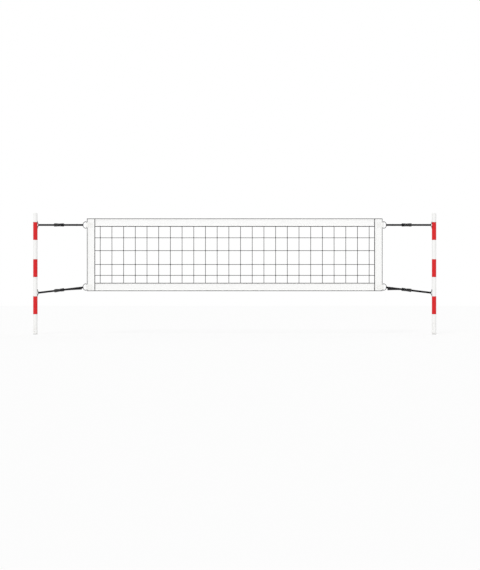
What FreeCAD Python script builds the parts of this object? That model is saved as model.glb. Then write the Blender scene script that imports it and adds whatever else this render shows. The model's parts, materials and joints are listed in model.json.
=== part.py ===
import FreeCAD, Part
import os
from math import asin, atan2, cos, degrees, hypot, pi, radians, sin, sqrt, tan

# Volleyball net between two poles. X runs along the net, Y is its depth and Z is up.
# The origin is on the ground, midway between the poles. The front is -Y. Lengths are in millimetres.

# Net
net_length = 4070.0
net_height = 1000.0
net_bottom_height = 593.0
band_width = 113.0
tape_thickness = 1.5
cord_diameter = 8.0
mesh_pitch = 161.0  # the two end spaces share what is left over
mesh_rows = [153.0, 177.0, 190.5, 150.0]  # from the top, as far as they fit; the last row takes what is left
last_row_least = 30.0
mesh_seam_depth = 12.0  # how far the mesh runs into each band
border_inset = 4.0  # from a band's edge to the border cord inside it
rope_diameter = 6.0
batten_diameter = 10.0
batten_inset = 12.0  # from the side band's end to the batten's end
band_clearance = 0.3  # between a band and what it holds
fold_flat = 8.0  # where the fold round the rope or batten starts to taper
fold_taper = 18.0
seam_taper = 12.0
binding_width = 8.0
binding_thickness = 0.8

# D-rings and the tabs that hold them
ring_radius = 47.0  # to the middle of the wire
ring_wire = 8.0
ring_corner = 8.0
ring_bar_offset = 8.0  # from the net's edge to the middle of the ring's straight bar
upper_ring_below_top = 89.5
lower_ring_above_bottom = 56.0
tab_width = 68.0
tab_length = 78.0  # on the side band
tab_thickness = 1.5
tab_bends = [12.0, 10.0, 6.0]  # corner radii, from the sewn end to the bar
loop_clearance = 0.3  # between webbing and the bar that it goes round

# Poles
line_reach = 660.0  # along the net, from a D-ring's bar to the anchor's bar
pole_above_net = 72.0
pole_diameter = 60.0
pole_wall = 2.5
red_height = 246.0
red_pitch = 511.0  # as many red sleeves as fit
bottom_white = 275.0
top_white_least = 20.0
sleeve_thickness = 0.8
sleeve_stand = 0.5  # how far a sleeve stands out of its recess
sleeve_clearance = 0.05
sleeve_end_gap = 0.3
cap_height = 4.0
cap_plug_length = 22.0
foot_flange = 4.0
foot_flange_step = 1.0
plug_clearance = 0.1

# Strap anchors on the poles
anchor_reach = 12.0  # from the tube to the middle of the anchor's bar
anchor_wire = 6.0
anchor_bar = 48.0  # between the middles of the two legs
anchor_corner = 7.0
pad_width = 18.0
pad_top = 48.0
pad_bottom = 15.0
pad_thickness = 3.5
screw_height = 38.0
screw_diameter = 5.0
screw_head = 10.0
screw_head_height = 2.6
screw_length = 9.0
screw_clearance = 0.05
lower_strap_drop = 79.0

# Webbing
webbing_width = 25.0
webbing_thickness = 1.5
layer_gap = 0.1
loop_shoulder = 2.0  # from a bar's middle to where the two layers start to close
loop_closing = 28.0  # from a bar's middle to where they meet
shoulder_bend = 8.0
closing_bend = 20.0
sewn_length = 34.0
strap_wrap = 150.0  # degrees round the spool
tail_end = 118.0  # from the ring's bar
keeper_place = 126.0
keeper_length = 12.0
keeper_wall = 1.2

# Ratchets
ring_to_ratchet = {"left": 253.0, "right": 202.0}  # from the ring's outer edge to the ratchet's end
axle_radius = 6.0
running_clearance = 0.08
slot_clearance = 0.2
plate_thickness = 2.0
plate_side_gap = 1.5
wheel_thickness = 2.2
wheel_gap = 0.3
tooth_count = 11
tooth_tip_radius = 15.0
tooth_root_radius = 11.0
collar_radius = 8.5
collar_thickness = 1.2
winding_gap = 0.3
frame_nose_radius = 13.5
frame_length = 85.0  # axle to bolt
frame_end_radius = 6.9
frame_top = 3.0
base_start = 8.0
base_end = 74.0
base_margin = 4.0  # the side plates' lower edge past the axle and past the base
base_clearance = 0.95
bolt_radius = 4.0
bolt_head_radius = 6.5
bolt_head_height = 2.2
bolt_clearance = 0.05
handle_length = 118.0
handle_nose_radius = 11.5
handle_waist = 2.0  # the lower edge's drop below the axle at mid-length
handle_low = 4.0
handle_high = 17.0
handle_rise = 19.0
handle_shoulder = 14.0
cover_start = 66.0
cover_top = 16.0
grip_length = 34.0
grip_set_back = 4.0  # the grip's mouth from where the handle turns straight
grip_wall = 1.7
grip_clearance = 0.1
grip_round = 3.0
pawl_thickness = 2.4
pawl_gap = 0.15
pawl_side_gap = 0.2
pawl_travel = 4.2
drive_angle = 15.0
lock_angle = -15.0
heel_clearance = 1.5  # degrees between a pawl's heel and the tooth's back
drive_nose_radius = 15.4
drive_plate = [21.0, 36.0]
drive_ear = [24.0, 32.0]
ear_stand = 0.8
lip_height = 6.0
lip_width = 28.0
lip_thickness = 2.4
drive_bar = [53.0, 56.0]
bar_height = 7.0
lock_plate = [19.0, 31.0]
lock_lug = [44.0, 46.5]
lug_height = 8.0
tang_width = 3.0
tang_stand = 1.5
tang_hole_gap = 0.3
spring_inner_radius = 2.1
spring_outer_radius = 3.1
spring_end_gap = 0.3

V = FreeCAD.Vector
ORIGIN = V(0, 0, 0)
UP = V(0, 0, 1)
SIDES = {"left": -1, "right": 1}
LEVELS = ("upper", "lower")
TINY = 1e-6

# Places that follow from the sizes above
net_top = net_bottom_height + net_height
net_half = net_length / 2
opening_half = net_half - band_width  # the mesh's visible half length
mesh_top = net_top - band_width
mesh_bottom = net_bottom_height + band_width
pole_radius = pole_diameter / 2
ring_x = net_half + ring_bar_offset
ring_height = {"upper": net_top - upper_ring_below_top, "lower": net_bottom_height + lower_ring_above_bottom}
ring_curve_slack = ring_radius - sqrt(ring_radius ** 2 - (webbing_width / 2) ** 2)
anchor_x = ring_x + line_reach
pole_x = anchor_x + anchor_reach + pole_radius
pole_length = net_top + pole_above_net
anchor_height = {"upper": ring_height["upper"], "lower": ring_height["lower"] - lower_strap_drop}
anchor_wire_radius = anchor_wire / 2
layer_half = (webbing_thickness + layer_gap) / 2  # from the strap's middle plane to either layer
layer_pitch = webbing_thickness + layer_gap
plate_inside = webbing_width / 2 + plate_side_gap
plate_outside = plate_inside + plate_thickness
wheel_inside = plate_outside + wheel_gap
wheel_outside = wheel_inside + wheel_thickness
handle_inside = wheel_outside + wheel_gap
handle_outside = handle_inside + plate_thickness
collar_inside = handle_outside + wheel_gap
collar_outside = collar_inside + collar_thickness
first_layer_radius = axle_radius + webbing_thickness / 2 + layer_gap
wound_radius = first_layer_radius + 2 * layer_pitch + webbing_thickness / 2
strap_radius = wound_radius + winding_gap + webbing_thickness / 2
tail_radius = strap_radius + layer_pitch
bolt_drop = strap_radius + layer_half
base_inside = tail_radius + webbing_thickness / 2 + base_clearance
base_outside = base_inside + plate_thickness
ring_outer = ring_radius + ring_wire / 2
tooth_pitch = 360.0 / tooth_count


def block(x0, x1, y0, y1, z0, z1):
    """A box between two corners."""
    return Part.makeBox(x1 - x0, y1 - y0, z1 - z0, V(x0, y0, z0))


def disc(radius, z0, z1, x=0.0, y=0.0):
    """A round plate or rod along Z."""
    return Part.makeCylinder(radius, z1 - z0, V(x, y, z0))


def plate(outline, z0, z1):
    """A flat plate of any outline in the XY plane."""
    corners = [V(x, y, z0) for x, y in outline]
    return Part.Face(Part.makePolygon(corners + corners[:1])).extrude(V(0, 0, z1 - z0))


def mirrored(shape):
    """The same shape on the other side of the XY plane."""
    return shape.mirror(ORIGIN, UP)


def turned(shape, angle):
    """The shape turned about the Z axis."""
    copy = shape.copy()
    copy.rotate(ORIGIN, UP, angle)
    return copy


def placed(shape, frame):
    """The shape moved into a frame."""
    copy = shape.copy()
    copy.Placement = frame.multiply(copy.Placement)
    return copy


def joined(first, *others):
    """Shapes fused into one solid."""
    return first.fuse(list(others)).removeSplitter()


def line(start, end):
    return {"kind": "line", "start": start, "end": end}


def arc(x, y, radius, start, sweep):
    """An arc about (x, y), from the angle start through sweep, in radians."""
    return {"kind": "arc", "centre": V(x, y, 0), "radius": radius, "start": start, "sweep": sweep}


def route(points):
    """Straight runs and tangent arcs through points of (x, y, corner radius)."""
    runs = []
    at = V(points[0][0], points[0][1], 0)
    for before, here, after in zip(points, points[1:], points[2:]):
        corner = V(here[0], here[1], 0)
        into = (corner - V(before[0], before[1], 0)).normalize()
        out = (V(after[0], after[1], 0) - corner).normalize()
        turn = atan2(into.x * out.y - into.y * out.x, into.dot(out))
        reach = here[2] * tan(abs(turn) / 2)
        start = corner - into * reach
        aside = V(-into.y, into.x, 0) * (here[2] if turn > 0 else -here[2])
        centre = start + aside
        if (start - at).Length > TINY:
            runs.append(line(at, start))
        runs.append(arc(centre.x, centre.y, here[2], atan2(-aside.y, -aside.x), turn))
        at = corner + out * reach
    runs.append(line(at, V(points[-1][0], points[-1][1], 0)))
    return runs


def beside(run, shift):
    """The run moved to its left by shift, as three points: its start, middle and end."""
    if run["kind"] == "line":
        along = (run["end"] - run["start"]).normalize()
        aside = V(-along.y, along.x, 0) * shift
        middle = (run["start"] + run["end"]) * 0.5
        return [run["start"] + aside, middle + aside, run["end"] + aside]
    radius = run["radius"] - shift if run["sweep"] > 0 else run["radius"] + shift
    angles = [run["start"] + run["sweep"] * share for share in (0, 0.5, 1)]
    return [run["centre"] + V(cos(a), sin(a), 0) * radius for a in angles]


def edge(run, points):
    if run["kind"] == "line":
        return Part.LineSegment(points[0], points[2]).toShape()
    return Part.Arc(*points).toShape()


def ribbon(runs, thickness, width):
    """Webbing that follows a flat route, standing on its edge, its width centred on the XY plane."""
    left = [beside(run, thickness / 2) for run in runs]
    right = [beside(run, -thickness / 2) for run in runs]
    edges = [edge(run, points) for run, points in zip(runs + runs, left + right)]
    edges.append(Part.LineSegment(left[0][0], right[0][0]).toShape())
    edges.append(Part.LineSegment(left[-1][2], right[-1][2]).toShape())
    face = Part.Face(Part.Wire(Part.__sortEdges__(edges)))
    face.translate(V(0, 0, -width / 2))
    return face.extrude(V(0, 0, width))


def rod(edges, radius, start, direction):
    """A round wire along a path of lines and tangent arcs."""
    section = Part.Wire(Part.makeCircle(radius, start, direction))
    return Part.Wire(edges).makePipeShell([section], True, False)


def frame_at(along, out, place):
    """A right-handed frame whose X is along and whose Y is out."""
    up = along.cross(out)
    return FreeCAD.Placement(FreeCAD.Matrix(
        along.x, out.x, up.x, place.x,
        along.y, out.y, up.y, place.y,
        along.z, out.z, up.z, place.z,
        0, 0, 0, 1))


def strap_tilt(level):
    """How far the strap slopes down towards its pole, in radians."""
    return atan2(ring_height[level] - anchor_height[level], anchor_x - ring_x)


def strap_frame(side, level, tilt):
    """X from the D-ring's bar towards the pole, Y towards the front."""
    sign = SIDES[side]
    along = V(sign * cos(tilt), 0, -sin(tilt))
    return frame_at(along, V(0, -1, 0), V(sign * ring_x, 0, ring_height[level]))


def pole_frame(side, height):
    """X from the pole's axis towards the net, Z up."""
    sign = SIDES[side]
    return frame_at(V(-sign, 0, 0), V(0, -sign, 0), V(sign * pole_x, 0, height))


# Mesh: upright and level cords in one flat sheet, with a border cord that lies in the bands' seams.
def net_mesh():
    inner_half = opening_half + border_inset
    outer_half = opening_half + mesh_seam_depth
    upright_cords = round(2 * opening_half / mesh_pitch)
    first_cord = -mesh_pitch * (upright_cords - 1) / 2
    uprights = [first_cord + mesh_pitch * i for i in range(upright_cords)]
    levels = [mesh_top - sum(mesh_rows[:i + 1]) for i in range(len(mesh_rows))]
    levels = [z for z in levels if z > mesh_bottom + last_row_least]
    half_cord = cord_diameter / 2
    lefts = [-inner_half] + [x + half_cord for x in uprights]
    rights = [x - half_cord for x in uprights] + [inner_half]
    tops = [mesh_top + border_inset] + [z - half_cord for z in levels]
    bottoms = [z + half_cord for z in levels] + [mesh_bottom - border_inset]

    def outline(x0, x1, z0, z1):
        y = -half_cord
        return Part.makePolygon([V(x0, y, z0), V(x1, y, z0), V(x1, y, z1), V(x0, y, z1), V(x0, y, z0)])

    border = outline(-outer_half, outer_half, mesh_bottom - mesh_seam_depth, mesh_top + mesh_seam_depth)
    gaps = [outline(x0, x1, z0, z1) for x0, x1 in zip(lefts, rights) for z1, z0 in zip(tops, bottoms)]
    return Part.makeFace([border] + gaps, "Part::FaceMakerBullseye").extrude(V(0, cord_diameter, 0))


# Bands: tape folded round a rope or batten at the outer edge, its two legs sewn over the mesh at the other.
seam_half = cord_diameter / 2 + band_clearance + tape_thickness


def fold_radius(core_diameter):
    return core_diameter / 2 + band_clearance + tape_thickness


def band_outline(core_diameter, skin):
    """The band's section, from its outer edge at x = 0 to the mesh side, grown by skin on its faces."""
    fold = fold_radius(core_diameter)
    centre = binding_thickness + fold
    radius = fold + skin
    flat = tape_thickness + skin
    legs = seam_half + skin
    fold_end = max(fold_flat, centre + TINY)
    seam_start = band_width - mesh_seam_depth - band_clearance - tape_thickness
    upper = [(fold_end, radius), (fold_end + fold_taper, flat), (seam_start - seam_taper, flat),
             (seam_start, legs), (band_width, legs)]
    lower = [(x, -y) for x, y in reversed(upper)]
    points = [V(x, y, 0) for x, y in [(centre, radius)] + upper + lower + [(centre, -radius)]]
    edges = [Part.LineSegment(a, b).toShape() for a, b in zip(points, points[1:]) if (b - a).Length > TINY]
    edges.append(Part.Arc(points[-1], V(centre - radius, 0, 0), points[0]).toShape())
    return Part.Face(Part.Wire(Part.__sortEdges__(edges)))


def band_section(core_diameter):
    """The tape alone: the outline less the tunnel for the core and the slot for the mesh."""
    tunnel = Part.makeCircle(core_diameter / 2 + band_clearance,
                             V(binding_thickness + fold_radius(core_diameter), 0, 0))
    slot_depth = mesh_seam_depth + band_clearance
    slot_half = cord_diameter / 2 + band_clearance
    slot = Part.makePlane(slot_depth, 2 * slot_half, V(band_width - slot_depth, -slot_half, 0))
    return band_outline(core_diameter, 0).cut([Part.Face(Part.Wire(tunnel)), slot])


def edge_frame(edge_name):
    """Each band's frame: X from its outer edge inwards, Z along it, the origin at one end."""
    places = {
        "top": frame_at(V(0, 0, -1), V(0, 1, 0), V(-opening_half, 0, net_top)),
        "bottom": frame_at(V(0, 0, 1), V(0, -1, 0), V(-opening_half, 0, net_bottom_height)),
        "left": frame_at(V(1, 0, 0), V(0, 1, 0), V(-net_half, 0, net_bottom_height)),
        "right": frame_at(V(-1, 0, 0), V(0, -1, 0), V(net_half, 0, net_bottom_height)),
    }
    return places[edge_name]


band_length = {"top": 2 * opening_half, "bottom": 2 * opening_half, "left": net_height, "right": net_height}
band_core = {"top": rope_diameter, "bottom": rope_diameter, "left": batten_diameter, "right": batten_diameter}


def band(edge_name):
    section = band_section(band_core[edge_name])
    return placed(section.extrude(V(0, 0, band_length[edge_name])), edge_frame(edge_name))


def band_rod(edge_name, inset):
    """The rope or batten in a band's fold."""
    core = band_core[edge_name]
    middle = binding_thickness + fold_radius(core)
    shape = disc(core / 2, inset, band_length[edge_name] - inset, middle, 0)
    return placed(shape, edge_frame(edge_name))


# Binding: thin dark tape folded over the bands' outer edges, along their seams and over the side bands' ends.
def edge_binding(edge_name):
    core = band_core[edge_name]
    margin = binding_width if edge_name in ("left", "right") else 0.0
    start, end = margin, band_length[edge_name] - margin
    skin = band_outline(core, binding_thickness).cut(band_outline(core, 0))
    reach = max(seam_half, fold_radius(core)) + 2 * binding_thickness
    pieces = []
    for x in (0, band_width - binding_width):
        strip = skin.common(Part.makePlane(binding_width, 2 * reach, V(x, -reach, 0)))
        strip.translate(V(0, 0, start))
        pieces += strip.extrude(V(0, 0, end - start)).Solids
    if margin:
        for z in (0, end):
            collar = skin.copy()
            collar.translate(V(0, 0, z))
            pieces += collar.extrude(V(0, 0, margin)).Solids
    return [placed(piece, edge_frame(edge_name)) for piece in pieces]


# D-ring: bent and welded round wire with a straight bar on the net's side.
def d_ring():
    corner_x = ring_corner
    corner_z = sqrt((ring_radius - ring_corner) ** 2 - ring_corner ** 2)
    meet = atan2(corner_z, corner_x)

    def point(x, z, radius, angle):
        return V(x + radius * cos(angle), 0, z + radius * sin(angle))

    def corner(sign):
        points = [point(corner_x, sign * corner_z, ring_corner, sign * a)
                  for a in (pi, (pi + meet) / 2, meet)]
        return Part.Arc(*(points if sign > 0 else points[::-1])).toShape()

    bar = Part.LineSegment(V(0, 0, -corner_z), V(0, 0, corner_z)).toShape()
    bow = Part.Arc(point(0, 0, ring_radius, meet), V(ring_radius, 0, 0),
                   point(0, 0, ring_radius, -meet)).toShape()
    wire = ring_wire / 2
    return rod([bar, corner(1), bow, corner(-1)], wire, V(0, 0, -corner_z), UP)


# Tab: white webbing folded round the ring's bar, its two legs sewn to the faces of the side band.
def ring_tab():
    around = ring_wire / 2 + loop_clearance + tab_thickness / 2
    fold = fold_radius(batten_diameter)
    over = fold + binding_thickness + (tab_thickness + layer_gap) / 2
    flat = tape_thickness + tab_thickness / 2
    edge_x = -ring_bar_offset
    taper_end = fold_flat + fold_taper + tab_thickness
    leg = [
        (edge_x - tab_length, flat, 0),
        (edge_x - taper_end, flat, tab_bends[0]),
        (edge_x - fold_flat - tab_thickness, over, tab_bends[1]),
        (edge_x - tab_thickness, over, tab_bends[2]),
        (0, around, tab_bends[2]),
        (around, around, around),
    ]
    back = [(x, -y, radius) for x, y, radius in reversed(leg)]
    return ribbon(route(leg + back), tab_thickness, tab_width)


# Poles: a tube with a shallow recess for each red sleeve.
sleeve_outer = pole_radius + sleeve_stand
sleeve_inner = sleeve_outer - sleeve_thickness


def red_starts():
    last_start = pole_length - cap_height - top_white_least - red_height
    red_count = 1 + int((last_start - bottom_white) / red_pitch)
    return [bottom_white + red_pitch * i for i in range(red_count)]


def pad_seat(height):
    """The radius that an anchor's pads bear on: a red sleeve's where one lies under them, or the tube's."""
    covered = [start for start in red_starts() if start - pad_top < height < start + red_height + pad_top]
    return (sleeve_outer if covered else pole_radius) + screw_clearance


def screw_holes(side):
    """The holes that the anchors' screws go through."""
    radius = screw_diameter / 2 + screw_clearance
    return [placed(screw_shank(radius, sign, pad_seat(height)), pole_frame(side, height))
            for height in anchor_height.values() for sign in (1, -1)]


def pole_tube(side):
    tube = disc(pole_radius, foot_flange, pole_length - cap_height)
    cuts = [disc(pole_radius - pole_wall, 0, pole_length)]
    for start in red_starts():
        ring = disc(pole_diameter, start, start + red_height)
        cuts.append(ring.cut(disc(sleeve_inner - sleeve_clearance, start, start + red_height)))
    tube.translate(V(SIDES[side] * pole_x, 0, 0))
    for cut in cuts:
        cut.translate(V(SIDES[side] * pole_x, 0, 0))
    return tube.cut(cuts + screw_holes(side))


def red_sleeves(side):
    pieces = []
    for start in red_starts():
        low, high = start + sleeve_end_gap, start + red_height - sleeve_end_gap
        sleeve = disc(sleeve_outer, low, high).cut(disc(sleeve_inner, low, high))
        sleeve.translate(V(SIDES[side] * pole_x, 0, 0))
        pieces.append(sleeve.cut(screw_holes(side)))
    return pieces


def top_cap(side):
    head = disc(pole_radius, pole_length - cap_height, pole_length)
    rim = [e for e in head.Edges if abs(e.CenterOfMass.z - pole_length) < TINY]
    head = head.makeFillet(cap_height / 2, rim)
    plug = disc(pole_radius - pole_wall - plug_clearance, pole_length - cap_height - cap_plug_length,
                pole_length - cap_height)
    return placed(joined(head, plug), FreeCAD.Placement(V(SIDES[side] * pole_x, 0, 0), FreeCAD.Rotation()))


def foot_plug(side):
    flange = disc(pole_radius - foot_flange_step, 0, foot_flange)
    plug = disc(pole_radius - pole_wall - plug_clearance, foot_flange, foot_flange + cap_plug_length)
    return placed(joined(flange, plug), FreeCAD.Placement(V(SIDES[side] * pole_x, 0, 0), FreeCAD.Rotation()))


# Anchor: a bent wire loop welded to two curved pads, each held to the tube by a screw.
def screw_shank(radius, sign, seat):
    start = seat + pad_thickness - screw_length
    return Part.makeCylinder(radius, screw_length, V(start, 0, sign * screw_height), V(1, 0, 0))


def strap_anchor(seat):
    half = anchor_bar / 2
    bar_x = pole_radius + anchor_reach
    root_x = seat + pad_thickness / 2
    bend = anchor_corner * (1 - sqrt(0.5))

    def leg(sign):
        return Part.LineSegment(V(root_x, 0, sign * half), V(bar_x - anchor_corner, 0, sign * half)).toShape()

    def corner(sign):
        return Part.Arc(V(bar_x - anchor_corner, 0, sign * half), V(bar_x - bend, 0, sign * (half - bend)),
                        V(bar_x, 0, sign * (half - anchor_corner))).toShape()

    bar = Part.LineSegment(V(bar_x, 0, half - anchor_corner), V(bar_x, 0, anchor_corner - half)).toShape()
    path = [leg(1), corner(1), bar, corner(-1), leg(-1)]
    wire = rod(path, anchor_wire_radius, V(root_x, 0, half), V(1, 0, 0))
    half_width = pad_width / 2
    pad = block(seat - pad_thickness, seat + pad_thickness, -half_width, half_width, pad_bottom, pad_top)
    anchor = joined(wire, pad, mirrored(pad)).cut(disc(seat, -pad_top, pad_top))
    holes = [screw_shank(screw_diameter / 2 + screw_clearance, sign, seat) for sign in (1, -1)]
    return anchor.cut(holes)


def anchor_screw(sign, seat):
    under_head = V(seat + pad_thickness, 0, sign * screw_height)
    head = Part.makeCylinder(screw_head / 2, screw_head_height, under_head, V(1, 0, 0))
    rim = [e for e in head.Edges if abs(e.CenterOfMass.x - under_head.x - screw_head_height) < TINY]
    return joined(screw_shank(screw_diameter / 2, sign, seat), head.makeFillet(screw_head_height / 2, rim))


# Straps: X is the distance from the ring's bar, and the two layers lie at +layer_half and -layer_half.
def loop_points(bar, radius, slack, toward):
    """The route round a bar, from the layer behind it to the layer in front; toward is the open side."""
    around = radius + loop_clearance + webbing_thickness / 2
    far = bar - toward * (slack + around)
    shoulder = bar + toward * loop_shoulder
    near = bar + toward * loop_closing
    behind = [(near, -layer_half, closing_bend), (shoulder, -around, shoulder_bend), (far, -around, around)]
    front = [(x, -y, r) for x, y, r in reversed(behind)]
    return behind + front


def axle_place(side):
    """The axle's middle, in the strap's frame."""
    return V(ring_outer + ring_to_ratchet[side] + tooth_tip_radius, layer_half + strap_radius, 0)


def net_strap(side):
    axle = axle_place(side)
    wrap = radians(strap_wrap)
    points = [(ring_radius + loop_closing + sewn_length, -layer_half, 0)]
    points += loop_points(ring_radius, ring_wire / 2, ring_curve_slack, 1)
    points.append((axle.x, layer_half, 0))
    strap = ribbon(route(points) + [arc(axle.x, axle.y, strap_radius, -pi / 2, wrap)],
                   webbing_thickness, webbing_width)
    low = layer_half - layer_pitch
    tail = ribbon([line(V(tail_end, low, 0), V(axle.x, low, 0)),
                   arc(axle.x, axle.y, tail_radius, -pi / 2, wrap)], webbing_thickness, webbing_width)
    return [strap, tail]


def strap_keeper():
    high = layer_half + webbing_thickness / 2 + loop_clearance
    low = layer_half - layer_pitch - webbing_thickness / 2 - loop_clearance
    half = webbing_width / 2 + loop_clearance
    end = keeper_place + keeper_length
    outside = block(keeper_place, end, low - keeper_wall, high + keeper_wall, -half - keeper_wall,
                    half + keeper_wall)
    return outside.cut(block(keeper_place, end, low, high, -half, half))


def strap_span(level):
    return hypot(anchor_x - ring_x, ring_height[level] - anchor_height[level])


def pole_strap(side, level):
    bolt = axle_place(side).x + frame_length
    anchor = strap_span(level)
    slack = webbing_width / 2 * tan(strap_tilt(level))  # the upright bar leans across a sloping loop
    points = [(bolt + loop_closing + sewn_length, -layer_half, 0)]
    points += loop_points(bolt, bolt_radius, 0, 1)
    points += reversed(loop_points(anchor, anchor_wire_radius, slack, -1))
    points.append((anchor - loop_closing - sewn_length, -layer_half, 0))
    return ribbon(route(points), webbing_thickness, webbing_width)


# Ratchet, in its own frame: the axle is the Z axis, X runs towards the pole and Y to the front.
def toothed_wheel():
    """Saw teeth, each rising away from the lock pawl, with one radial face just beside the pawl's nose."""
    beside_nose = degrees(asin((pawl_thickness / 2 + pawl_gap) / tooth_root_radius))
    outline = []
    for i in range(tooth_count):
        angle = radians(lock_angle + beside_nose + tooth_pitch * i)
        for radius in (tooth_root_radius, tooth_tip_radius):
            outline.append((radius * cos(angle), radius * sin(angle)))
    return plate(outline, wheel_inside, wheel_outside)


def spool():
    axle = disc(axle_radius, -collar_outside, collar_outside)
    slot_half = webbing_thickness / 2 + slot_clearance
    slot = block(-axle_radius, axle_radius, -slot_half, slot_half, -plate_inside, plate_inside)
    wheel = toothed_wheel()
    collar = disc(collar_radius, collar_inside, collar_outside)
    return joined(axle.cut(slot), wheel, mirrored(wheel), collar, mirrored(collar))


def wound_webbing():
    """Webbing through the axle's slot, each end wound once round it over the other."""
    step = layer_pitch
    turn_radius = first_layer_radius + step / 2
    corner = webbing_thickness / 2 + slot_clearance
    corner_x = sqrt((turn_radius - corner) ** 2 - corner ** 2) - step / 2
    leave = atan2(-corner, corner_x + step / 2)
    half = ribbon([
        line(V(0, 0, 0), V(corner_x, 0, 0)),
        arc(corner_x, -corner, corner, pi / 2, leave - pi / 2),
        arc(-step / 2, 0, turn_radius, leave, -pi - leave),
        arc(step / 2, 0, turn_radius + step, pi, -pi),
    ], webbing_thickness, webbing_width)
    return joined(half, turned(half, 180))


def ratchet_frame():
    """Two side plates on a base plate, with a lug for the lock pawl's spring."""
    nose_corner = frame_nose_radius * sqrt(0.5)
    outline = [(-nose_corner, -nose_corner), (-base_margin, -base_outside),
               (base_end + base_margin, -base_outside), (frame_length, -bolt_drop - frame_end_radius),
               (frame_length, frame_end_radius - bolt_drop), (frame_length / 2, frame_top), (0, frame_top)]
    side = joined(plate(outline, plate_inside, plate_outside),
                  disc(frame_nose_radius, plate_inside, plate_outside),
                  disc(frame_end_radius, plate_inside, plate_outside, frame_length, -bolt_drop))
    slot_half = pawl_thickness / 2 + pawl_side_gap
    slot = block(lock_plate[0] - pawl_side_gap, lock_plate[1] + pawl_travel, -slot_half, slot_half,
                 plate_inside, plate_outside)
    axle_hole = disc(axle_radius + running_clearance, plate_inside, plate_outside)
    bolt_hole = disc(bolt_radius + bolt_clearance, plate_inside, plate_outside, frame_length, -bolt_drop)
    side = side.cut([axle_hole, bolt_hole, turned(slot, lock_angle)])
    base = block(base_start, base_end, -base_outside, -base_inside, -plate_inside, plate_inside)
    lug = block(lock_lug[0], lock_lug[1], -lug_height / 2, lug_height / 2, -plate_inside, plate_inside)
    lug = lug.cut(tang_hole(lock_lug))
    return joined(side, mirrored(side), base, turned(lug, lock_angle))


def tang_hole(along):
    """The hole that lets a pawl's tang slide through a lug or bar."""
    wide = tang_width / 2 + tang_hole_gap
    high = pawl_thickness / 2 + tang_hole_gap
    return block(along[0], along[1], -high, high, -wide, wide)


def frame_bolt():
    shank = disc(bolt_radius, -plate_outside, plate_outside, frame_length, -bolt_drop)
    head = disc(bolt_head_radius, plate_outside, plate_outside + bolt_head_height, frame_length, -bolt_drop)
    return joined(shank, head, mirrored(head))


def handle():
    """Two side plates outside the toothed wheels, joined by a cover and a bar for the drive spring."""
    outline = [(0, -handle_nose_radius), (frame_length / 2, -handle_waist),
               (handle_length - grip_length, handle_low), (handle_length, handle_low),
               (handle_length, handle_high), (handle_length - grip_length, handle_high),
               (drive_bar[1], handle_rise), (drive_plate[0], handle_shoulder), (0, handle_nose_radius)]
    side = joined(plate(outline, handle_inside, handle_outside),
                  disc(handle_nose_radius, handle_inside, handle_outside))
    slot_half = pawl_thickness / 2 + pawl_side_gap
    slot = block(drive_ear[0] - pawl_side_gap, drive_ear[1] + pawl_travel, -slot_half, slot_half,
                 handle_inside, handle_outside)
    side = side.cut([disc(axle_radius + running_clearance, handle_inside, handle_outside),
                     turned(slot, drive_angle)])
    cover = block(cover_start, handle_length, cover_top - plate_thickness, cover_top,
                  -handle_inside, handle_inside)
    bar = block(drive_bar[0], drive_bar[1], -bar_height / 2, bar_height / 2, -handle_inside, handle_inside)
    bar = bar.cut(tang_hole(drive_bar))
    return joined(side, mirrored(side), cover, turned(bar, drive_angle))


def handle_grip():
    """A moulded sleeve over the handle's end, closed and rounded at the tip."""
    gap = grip_clearance
    start = handle_length - grip_length + grip_set_back
    inner = block(start, handle_length + gap, handle_low - gap, handle_high + gap,
                  -handle_outside - gap, handle_outside + gap)
    outer = block(start, handle_length + gap + 2 * grip_wall, handle_low - gap - grip_wall,
                  handle_high + gap + grip_wall, -handle_outside - gap - grip_wall,
                  handle_outside + gap + grip_wall)
    away_from_mouth = [e for e in outer.Edges if e.CenterOfMass.x > start + TINY]
    return outer.makeFillet(grip_round, away_from_mouth).cut(inner)


def nose(outline):
    """A pawl's pair of noses, one for each toothed wheel."""
    one = plate(outline, wheel_inside + pawl_side_gap, wheel_outside - pawl_side_gap)
    return [one, mirrored(one)]


def pawl_body(along, half_width):
    half = pawl_thickness / 2
    return block(along[0], along[1], -half, half, -half_width, half_width)


def drive_pawl():
    half = pawl_thickness / 2
    root = drive_plate[0] + half
    noses = nose([(root, half), (drive_nose_radius, half), (drive_nose_radius + half, -half), (root, -half)])
    body = pawl_body(drive_plate, wheel_outside - pawl_side_gap)
    ears = pawl_body(drive_ear, handle_outside + ear_stand)
    end = drive_plate[1]
    lip = block(end, end + lip_thickness, -half, lip_height, -lip_width / 2, lip_width / 2)
    tang = pawl_body([end, drive_bar[1] + tang_stand], tang_width / 2)
    return turned(joined(body, ears, lip, tang, *noses), drive_angle)


def lock_pawl():
    half = pawl_thickness / 2
    root = lock_plate[0] + half
    tip = tooth_root_radius + wheel_gap
    heel = tip + (tooth_tip_radius - tooth_root_radius) * pawl_lead() / tooth_pitch
    noses = nose([(root, half), (tip, half), (heel, -half), (root, -half)])
    body = pawl_body(lock_plate, wheel_outside - pawl_side_gap)
    tang = pawl_body([lock_plate[1], lock_lug[1] + tang_stand], tang_width / 2)
    return turned(joined(body, tang, *noses), lock_angle)


def pawl_lead():
    """The angle, seen from the axle, between the tooth's face and the far corner of the pawl's nose."""
    near = asin((pawl_thickness / 2 + pawl_gap) / tooth_root_radius)
    far = atan2(pawl_thickness / 2, tooth_root_radius + wheel_gap)
    return degrees(near + far) + heel_clearance


def spring(start, end, angle):
    """A compression spring's outer shape: a plain sleeve round the pawl's tang."""
    low, high = start + spring_end_gap, end - spring_end_gap
    sleeve = disc(spring_outer_radius, low, high).cut(disc(spring_inner_radius, low, high))
    sleeve.rotate(ORIGIN, V(0, 1, 0), 90)
    return turned(sleeve, angle)


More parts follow.
